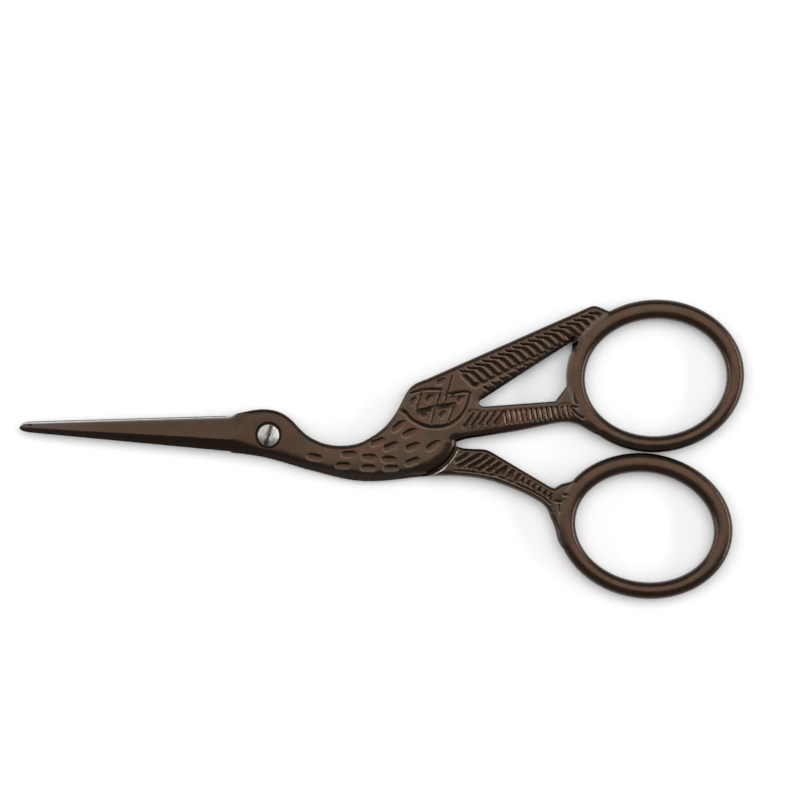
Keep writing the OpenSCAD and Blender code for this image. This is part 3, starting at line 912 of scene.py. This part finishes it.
class Nodes:
    """Builds the nodes of one material."""

    def __init__(self, name):
        self.material = bpy.data.materials.new(name)
        self.material.use_nodes = True
        self.tree = self.material.node_tree
        self.tree.nodes.clear()
        self.place = self.add("ShaderNodeTexCoord").outputs["Object"]

    def add(self, kind, settings=None, **inputs):
        """A node with its settings, and its inputs given as values or as other nodes' outputs."""
        node = self.tree.nodes.new(kind)
        for name, value in (settings or {}).items():
            setattr(node, name, value)
        for name, value in inputs.items():
            socket = node.inputs[int(name[1:]) if name[1:].isdigit() else name.replace("_", " ")]
            if isinstance(value, bpy.types.NodeSocket):
                self.tree.links.new(value, socket)
            else:
                socket.default_value = value
        return node

    def noise(self, scale, detail=3.0, roughness=0.55, vector=None):
        return self.add("ShaderNodeTexNoise", Vector=vector or self.place, Scale=scale, Detail=detail,
                        Roughness=roughness).outputs["Fac"]

    def stretched(self, scale):
        return self.add("ShaderNodeMapping", Vector=self.place, Scale=scale).outputs["Vector"]

    def spread(self, value, low, high, new_low=0.0, new_high=1.0):
        node = self.add("ShaderNodeMapRange", {"clamp": True}, Value=value, From_Min=low, From_Max=high,
                        To_Min=new_low, To_Max=new_high)
        return node.outputs["Result"]

    def attribute(self, name):
        return self.add("ShaderNodeAttribute", {"attribute_name": name}).outputs["Fac"]

    def product(self, a, b):
        return self.add("ShaderNodeMath", {"operation": "MULTIPLY"}, _0=a, _1=b).outputs[0]

    def mix(self, share, a, b):
        return self.add("ShaderNodeMix", {"data_type": "RGBA"}, _0=share, _6=a, _7=b).outputs[2]

    def between(self, share, a, b):
        return self.add("ShaderNodeMix", _0=share, _2=a, _3=b).outputs[0]

    def bump(self, height, distance, strength=1.0, normal=None):
        node = self.add("ShaderNodeBump", Height=height, Distance=distance, Strength=strength)
        if normal:
            self.tree.links.new(normal, node.inputs["Normal"])
        return node.outputs["Normal"]

    def finish(self, **inputs):
        shader = self.add("ShaderNodeBsdfPrincipled", **inputs)
        self.add("ShaderNodeOutputMaterial", Surface=shader.outputs["BSDF"])
        return self.material


def satin_bronze(colours):
    """Brown satin coat with red-brown and olive patches, a darker coat and painted shade in the carving, grey
    on the edges from wear and a painted reflection, painted shade towards the head and in the screw's recess
    and the step's gap, painted highlights on the carving's lips, and bare steel with grinding lines where the
    coat is ground off."""
    n = Nodes("satin_bronze")
    patches = n.noise(230, 4, 0.6)
    tone = n.noise(420, 3, 0.6)
    flecks = n.noise(2600, 3, 0.6)
    colour = n.mix(n.spread(patches, 0.38, 0.62), (*colours.coat_red, 1), (*colours.coat_olive, 1))
    colour = n.mix(n.spread(tone, 0.4, 0.7, 0.0, 0.5), colour, (*colours.coat_dark, 1))
    colour = n.mix(n.spread(flecks, 0.45, 0.75, 0.0, 0.2), colour, (*colours.coat_worn_and_sheen, 1))
    # Wear and a painted grey reflection on the rounded rims near the edges
    wear_and_sheen = n.product(n.spread(n.attribute("rim"), 0.7, 0.05), n.spread(tone, 0.3, 0.6, 0.35, 0.8))
    colour = n.mix(wear_and_sheen, colour, (*colours.coat_worn_and_sheen, 1))
    along = n.add("ShaderNodeSeparateXYZ", Vector=n.place).outputs["X"]
    tip = CAD_BOX[0].x
    # Painted shade: the coat is painted darker towards the screw, over the head and neck
    head = n.spread(along, SCREW.x + 14 * MM, SCREW.x, 0.0, 0.55)
    colour = n.mix(head, colour, (*colours.coat_dark, 1))
    beak = n.product(n.spread(along, tip + 14 * MM, tip + 1 * MM), n.spread(flecks, 0.3, 0.6, 0.5, 0.9))
    colour = n.mix(beak, colour, (*colours.beak_grey, 1))
    # Painted highlight on the carving's lips and the barbs' ends
    lips = n.product(n.attribute("rubbed"), n.spread(flecks, 0.3, 0.6, 0.55, 1.0))
    colour = n.mix(lips, colour, (*colours.coat_rubbed, 1))
    # Darker coat with painted shade in the carving, and painted shade in the screw's recess and the step's
    # gap
    colour = n.mix(n.attribute("dark"), colour, (*colours.carving, 1))
    bare = n.spread(n.attribute("bare"), -0.02, 0.02)
    lines = n.noise(1, 4, 0.7, n.stretched((9000, 400, 900)))
    stains = n.noise(160, 3, 0.5)
    steel = n.mix(n.spread(stains, 0.4, 0.7, 0.0, 0.3), (*colours.steel, 1), (*colours.steel_stain_and_shade, 1))
    steel = n.mix(n.spread(lines, 0.35, 0.65, 0.0, 0.5), steel, (*colours.steel_stain_and_shade, 1))
    colour = n.mix(bare, colour, steel)
    roughness = n.between(bare, n.spread(flecks, 0.3, 0.7, 0.24, 0.32), n.spread(lines, 0.3, 0.7, 0.24, 0.4))
    grain = n.bump(n.noise(7000, 3, 0.6), 0.006 * MM, 0.4)
    ground = n.bump(lines, 0.01 * MM, n.product(bare, 0.6), grain)
    normal = n.bump(n.noise(900, 3, 0.5), 0.03 * MM, 0.5, ground)
    return n.finish(Base_Color=colour, Metallic=1.0, Roughness=roughness, Normal=normal)


def screw_steel(colours, sizes):
    """Bright screw steel, scored along its slot by drivers, with painted shade in the slot and on one side of
    the head, and darker reflection streaks painted along the score marks.
    """
    n = Nodes("screw_steel")
    centred = n.add("ShaderNodeMapping", {"vector_type": "TEXTURE"}, Vector=n.place,
                    Location=(SCREW.x, SCREW.y, 0), Rotation=(0, 0, sizes.slot_turn)).outputs["Vector"]
    axes = n.add("ShaderNodeSeparateXYZ", Vector=centred).outputs
    from_slot = n.add("ShaderNodeMath", {"operation": "ABSOLUTE"}, _0=axes["Y"]).outputs[0]
    long = n.add("ShaderNodeMapping", Vector=centred, Scale=(600, 3000, 1)).outputs["Vector"]
    scores = n.noise(1, 4, 0.65, long)
    nicks = n.noise(3500, 4, 0.65)
    # Score marks near the slot, with darker reflection streaks painted along them
    scores_and_streaks = n.product(n.spread(from_slot, 1.4 * MM, 0.4 * MM), n.spread(scores, 0.4, 0.54))
    colour = n.mix(n.product(scores_and_streaks, 0.9), (*colours.screw, 1), (*colours.grime, 1))
    colour = n.mix(n.spread(nicks, 0.55, 0.75, 0.0, 0.4), colour, (*colours.steel_stain_and_shade, 1))
    # Painted shade: the head is painted darker on one side of its slot
    colour = n.mix(n.spread(axes["Y"], 0.2 * MM, 1.0 * MM, 0.0, 0.75), colour, (*colours.steel_stain_and_shade, 1))
    # Painted shade on the slot's floor
    slot = n.spread(axes["Z"], 2 * SCREW.z - 0.3 * MM, 2 * SCREW.z - 0.42 * MM)
    colour = n.mix(n.product(slot, n.spread(scores, 0.35, 0.65, 0.95, 0.7)), colour, (*colours.grime, 1))
    normal = n.bump(nicks, 0.01 * MM, 0.5, n.bump(scores, 0.03 * MM, 0.8))
    roughness = n.spread(nicks, 0.3, 0.7, 0.18, 0.34)
    return n.finish(Base_Color=colour, Metallic=1.0, Roughness=roughness, Normal=normal)


def half_finish(colours):
    """The bronze coat with its bare steel, made once for both halves."""
    return bpy.data.materials.get("satin_bronze") or satin_bronze(colours)


def linked(name, mesh):
    """A new object in the scene."""
    obj = bpy.data.objects.new(name, mesh)
    bpy.context.scene.collection.objects.link(obj)
    return obj


def length(name, description, millimetres, low, high):
    """A length that the panel shows, given in millimetres."""
    return FloatProperty(name=name, description=description, default=millimetres * MM, min=low * MM,
                         max=high * MM, unit="LENGTH", precision=5)


def shade(name, description, value):
    """A colour that the panel shows."""
    return FloatVectorProperty(name=name, description=description, default=value, subtype="COLOR",
                               min=0, max=1)


class ScissorSizes(bpy.types.PropertyGroup):
    face_gap: length("Face gap", "Gap between the halves where they slide on each other", 0.04, 0.02, 0.1)
    step_gap: length("Step gap", "Gap between a half's rump and the other half's step", 0.45, 0.3, 0.6)
    recess_r: length("Recess radius", "Radius of the recess round the screw's head", 2.08, 1.9, 2.3)
    recess_h: length("Recess depth", "Depth of that recess", 0.7, 0.5, 0.8)
    bore_r: length("Bore radius", "Radius of the hole in the front half", 1.05, 1.01, 1.1)
    thread_r: length("Thread radius", "Radius of the hole in the back half", 1.02, 1.0, 1.05)
    head_r: length("Head radius", "Radius of the screw's head", 1.78, 1.6, 1.95)
    stem_r: length("Stem radius", "Radius of the screw's stem", 1.0, 0.9, 1.0)
    dome_r: length("Dome radius", "Radius of the head's dome", 7, 3, 12)
    slot_w: length("Slot width", "Width of the screw's slot", 0.5, 0.3, 0.6)
    slot_h: length("Slot depth", "Depth of the screw's slot", 0.46, 0.2, 0.5)
    slot_turn: FloatProperty(name="Slot turn", description="Turn of the slot", default=math.radians(76),
                             subtype="ANGLE")

    def in_mm(self):
        names = [n for n in self.__annotations__ if n != "slot_turn"]
        return {"half_t": HALF_T, **{n: getattr(self, n) / MM for n in names}}


class ScissorColours(bpy.types.PropertyGroup):
    coat_red: shade("Red-brown coat", "Redder patches of the coat", (0.068, 0.035, 0.0245))
    coat_olive: shade("Olive-brown coat", "Greener patches of the coat", (0.055, 0.038, 0.024))
    # Also the painted shade over the head and neck
    coat_dark: shade("Dark coat", "Darker clouds in the coat", (0.036, 0.022, 0.016))
    # Also the painted grey reflection on the rims
    coat_worn_and_sheen: shade("Worn coat", "Rubbed edges of the coat", (0.076, 0.067, 0.062))
    # Painted highlight on the carving's lips and the barbs' ends
    coat_rubbed: shade("Rubbed lips", "Lips of the carving rubbed bright", (0.13, 0.108, 0.089))
    # Also the painted shade in the carving, the screw's recess and the step's gap
    carving: shade("Carving", "Dark coat left in the carving", (0.012, 0.0075, 0.005))
    beak_grey: shade("Beak tip", "Greyer coat at the beak's tip", (0.06, 0.048, 0.042))
    steel: shade("Ground steel", "Bare steel of the ground faces", (0.42, 0.41, 0.39))
    # Also the painted shade on one side of the screw's head
    steel_stain_and_shade: shade("Steel stain", "Duller steel", (0.23, 0.22, 0.205))
    screw: shade("Screw", "Bright steel of the screw", (0.46, 0.45, 0.43))
    # Painted shade in the screw's slot, and darker reflection streaks painted along its score marks
    grime: shade("Grime", "Dark grime in the screw's slot and score marks", (0.03, 0.022, 0.018))
    table: shade("Table", "White table", (0.97, 0.97, 0.97))


class StageSizes(bpy.types.PropertyGroup):
    view_width: length("View width", "Width of the table in the picture", 128, 60, 400)
    lens: FloatProperty(name="Lens", description="Camera lens in millimetres", default=150, min=50, max=300)
    roll: FloatProperty(name="Roll", description="Camera roll", default=math.radians(2.3), subtype="ANGLE")
    aim: FloatVectorProperty(name="Aim", description="Middle of the picture on the scissors", unit="LENGTH",
                             default=(2.86 * MM, 6.25 * MM, 1.45 * MM))
    table_r: FloatProperty(name="Table radius", description="Radius of the table", default=3, unit="LENGTH")
    key: FloatProperty(name="Key light", description="Brightness of the large soft light", default=1.75)
    side: FloatProperty(name="Side light", description="Brightness of the two side lights", default=14.0)
    fill: FloatProperty(name="Fill light", description="Brightness of the surroundings", default=0.3)


def own(obj, body, node):
    """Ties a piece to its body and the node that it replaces."""
    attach(obj, body)
    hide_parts(node)


class SCISSORS_OT_front_half(bpy.types.Operator):
    """Forges the front half: beak blade, neck, carved body and wing, leg and upper finger loop."""

    bl_idname = "scissors.front_half"
    bl_label = "Front Half"

    def execute(self, context):
        plan = front_plan(context.scene.scissor_sizes.in_mm())
        mesh = plan.mesh(half_finish(context.scene.scissor_colours))
        own(linked("front_stork_half", mesh), "front", "front_half")
        return {"FINISHED"}


class SCISSORS_OT_back_half(bpy.types.Operator):
    """Forges the back half: the other blade and body, the rear leg and lower finger loop."""

    bl_idname = "scissors.back_half"
    bl_label = "Back Half"

    def execute(self, context):
        plan = back_plan(context.scene.scissor_sizes.in_mm())
        mesh = plan.mesh(half_finish(context.scene.scissor_colours))
        own(linked("back_stork_half", mesh), "back", "back_half")
        return {"FINISHED"}


class SCISSORS_OT_pivot_screw(bpy.types.Operator):
    """Turns the slotted pivot screw with its domed head."""

    bl_idname = "scissors.pivot_screw"
    bl_label = "Pivot Screw"

    def execute(self, context):
        props = context.scene.scissor_sizes
        s = props.in_mm()
        seat = s["half_t"] - s["recess_h"] + SEAT_GAP
        top = s["half_t"] - HEAD_SINK
        dome = [(r, top - s["dome_r"] + math.sqrt(s["dome_r"]**2 - r * r))
                for r in np.linspace(0, s["head_r"] - 0.07, 12)]
        rim_z = dome[-1][1]
        profile = dome + [(s["head_r"] - 0.03, rim_z - 0.025), (s["head_r"] - 0.007, rim_z - 0.06),
                          (s["head_r"], rim_z - 0.1), (s["head_r"], seat + 0.03),
                          (s["head_r"] - 0.03, seat), (s["stem_r"], seat), (s["stem_r"], -top + 0.08),
                          (s["stem_r"] - 0.06, -top + 0.015), (s["stem_r"] - 0.2, -top), (0, -top)]
        screw = bmesh.new()
        verts = [screw.verts.new((r, 0, z)) for r, z in profile]
        edges = [screw.edges.new(pair) for pair in zip(verts, verts[1:])]
        bmesh.ops.spin(screw, geom=verts + edges, cent=(0, 0, 0), axis=(0, 0, 1), angle=2 * math.pi,
                       steps=96, use_merge=True)
        bmesh.ops.remove_doubles(screw, verts=screw.verts, dist=1e-4)
        bmesh.ops.recalc_face_normals(screw, faces=screw.faces)
        cutter = bmesh.new()
        bmesh.ops.create_cube(cutter, size=1, matrix=Matrix.Rotation(props.slot_turn, 4, "Z")
                              @ Matrix.Translation((0, 0, top - s["slot_h"] + 0.5))
                              @ Matrix.Diagonal((6, s["slot_w"], 1, 1)))
        obj = linked("slotted_screw", bpy.data.meshes.new("slotted_screw"))
        tool = linked("slot_cutter", bpy.data.meshes.new("slot_cutter"))
        screw.to_mesh(obj.data)
        cutter.to_mesh(tool.data)
        cut = obj.modifiers.new("Slot", "BOOLEAN")
        cut.operation, cut.object, cut.solver = "DIFFERENCE", tool, "EXACT"
        soften = obj.modifiers.new("Soft edges", "BEVEL")
        soften.limit_method, soften.angle_limit, soften.width, soften.segments = "ANGLE", 0.9, 0.035, 3
        mesh = bpy.data.meshes.new_from_object(obj.evaluated_get(context.evaluated_depsgraph_get()))
        obj.modifiers.clear()
        obj.data = mesh
        bpy.data.objects.remove(tool)
        mesh.transform(Matrix.Translation(SCREW) @ Matrix.Scale(MM, 4))
        mesh.shade_smooth()
        mesh.set_sharp_from_angle(angle=math.radians(35))
        mesh.materials.clear()
        mesh.materials.append(screw_steel(context.scene.scissor_colours, props))
        own(obj, "back", "pivot_screw")
        return {"FINISHED"}


class SCISSORS_OT_stage(bpy.types.Operator):
    """Sets the white table, the soft lights and the camera."""

    bl_idname = "scissors.stage"
    bl_label = "Stage"

    def execute(self, context):
        stage, scene = context.scene.scissor_stage, context.scene
        n = Nodes("white_table")
        table = bmesh.new()
        bmesh.ops.create_circle(table, cap_ends=True, segments=128, radius=stage.table_r,
                                matrix=Matrix.Translation((0, 0, -0.02 * MM)))
        mesh = bpy.data.meshes.new("table")
        table.to_mesh(mesh)
        mesh.materials.append(n.finish(Base_Color=(*scene.scissor_colours.table, 1), Roughness=0.7))
        linked("table", mesh)
        for name, (wide, deep), place, lean, bright in (
                ("key_light", (1.9, 1.0), (0, 0.37, 0.9), 0, stage.key),
                ("left_light", (0.08, 1), (-0.85, 0.1, 0.3), math.radians(-70), stage.side * 0.8),
                ("right_light", (0.08, 1), (0.85, 0.1, 0.3), math.radians(70), stage.side * 1.2)):
            data = bpy.data.lights.new(name, "AREA")
            data.shape, data.size, data.size_y = "RECTANGLE", wide, deep
            data.energy = bright * wide * deep * math.pi
            light = bpy.data.objects.new(name, data)
            light.location = place
            light.rotation_euler = (0, lean, 0)
            scene.collection.objects.link(light)
        world = bpy.data.worlds.new("soft_surroundings")
        world.use_nodes = True
        world.node_tree.nodes["Background"].inputs["Color"].default_value = (1, 1, 1, 1)
        world.node_tree.nodes["Background"].inputs["Strength"].default_value = stage.fill
        scene.world = world
        data = bpy.data.cameras.new("photo_camera")
        data.lens, data.sensor_width = stage.lens, 36
        away = stage.view_width / data.sensor_width * data.lens
        data.clip_start, data.clip_end = 0.01, 10
        camera = bpy.data.objects.new("photo_camera", data)
        camera.location = Vector(stage.aim) + Vector((0, 0, away))
        camera.rotation_euler = (0, 0, stage.roll)
        scene.collection.objects.link(camera)
        scene.camera = camera
        scene.view_settings.view_transform = "Standard"
        return {"FINISHED"}


class SCISSORS_PT_panel(bpy.types.Panel):
    """Lists the pieces of the scissors."""

    bl_idname = "SCISSORS_PT_panel"
    bl_label = "Stork Scissors"
    bl_space_type = "VIEW_3D"
    bl_region_type = "UI"
    bl_category = "Scissors"

    def draw(self, context):
        for operator in OPERATORS:
            self.layout.operator(operator.bl_idname)
        for group in GROUPS:
            settings = getattr(context.scene, group)
            box = self.layout.box()
            for name in settings.__annotations__:
                box.prop(settings, name)


OPERATORS = (SCISSORS_OT_stage, SCISSORS_OT_front_half, SCISSORS_OT_back_half, SCISSORS_OT_pivot_screw)
GROUPS = {"scissor_sizes": ScissorSizes, "scissor_colours": ScissorColours, "scissor_stage": StageSizes}


def register():
    for group in GROUPS.values():
        bpy.utils.register_class(group)
    for operator in OPERATORS:
        bpy.utils.register_class(operator)
    bpy.utils.register_class(SCISSORS_PT_panel)
    for name, group in GROUPS.items():
        setattr(bpy.types.Scene, name, PointerProperty(type=group))


def unregister():
    for name in GROUPS:
        delattr(bpy.types.Scene, name)
    bpy.utils.unregister_class(SCISSORS_PT_panel)
    for operator in reversed(OPERATORS):
        bpy.utils.unregister_class(operator)
    for group in reversed(list(GROUPS.values())):
        bpy.utils.unregister_class(group)


def main():
    register()
    bpy.ops.scissors.stage()
    bpy.ops.scissors.front_half()
    bpy.ops.scissors.back_half()
    bpy.ops.scissors.pivot_screw()


if __name__ == "__main__":
    main()
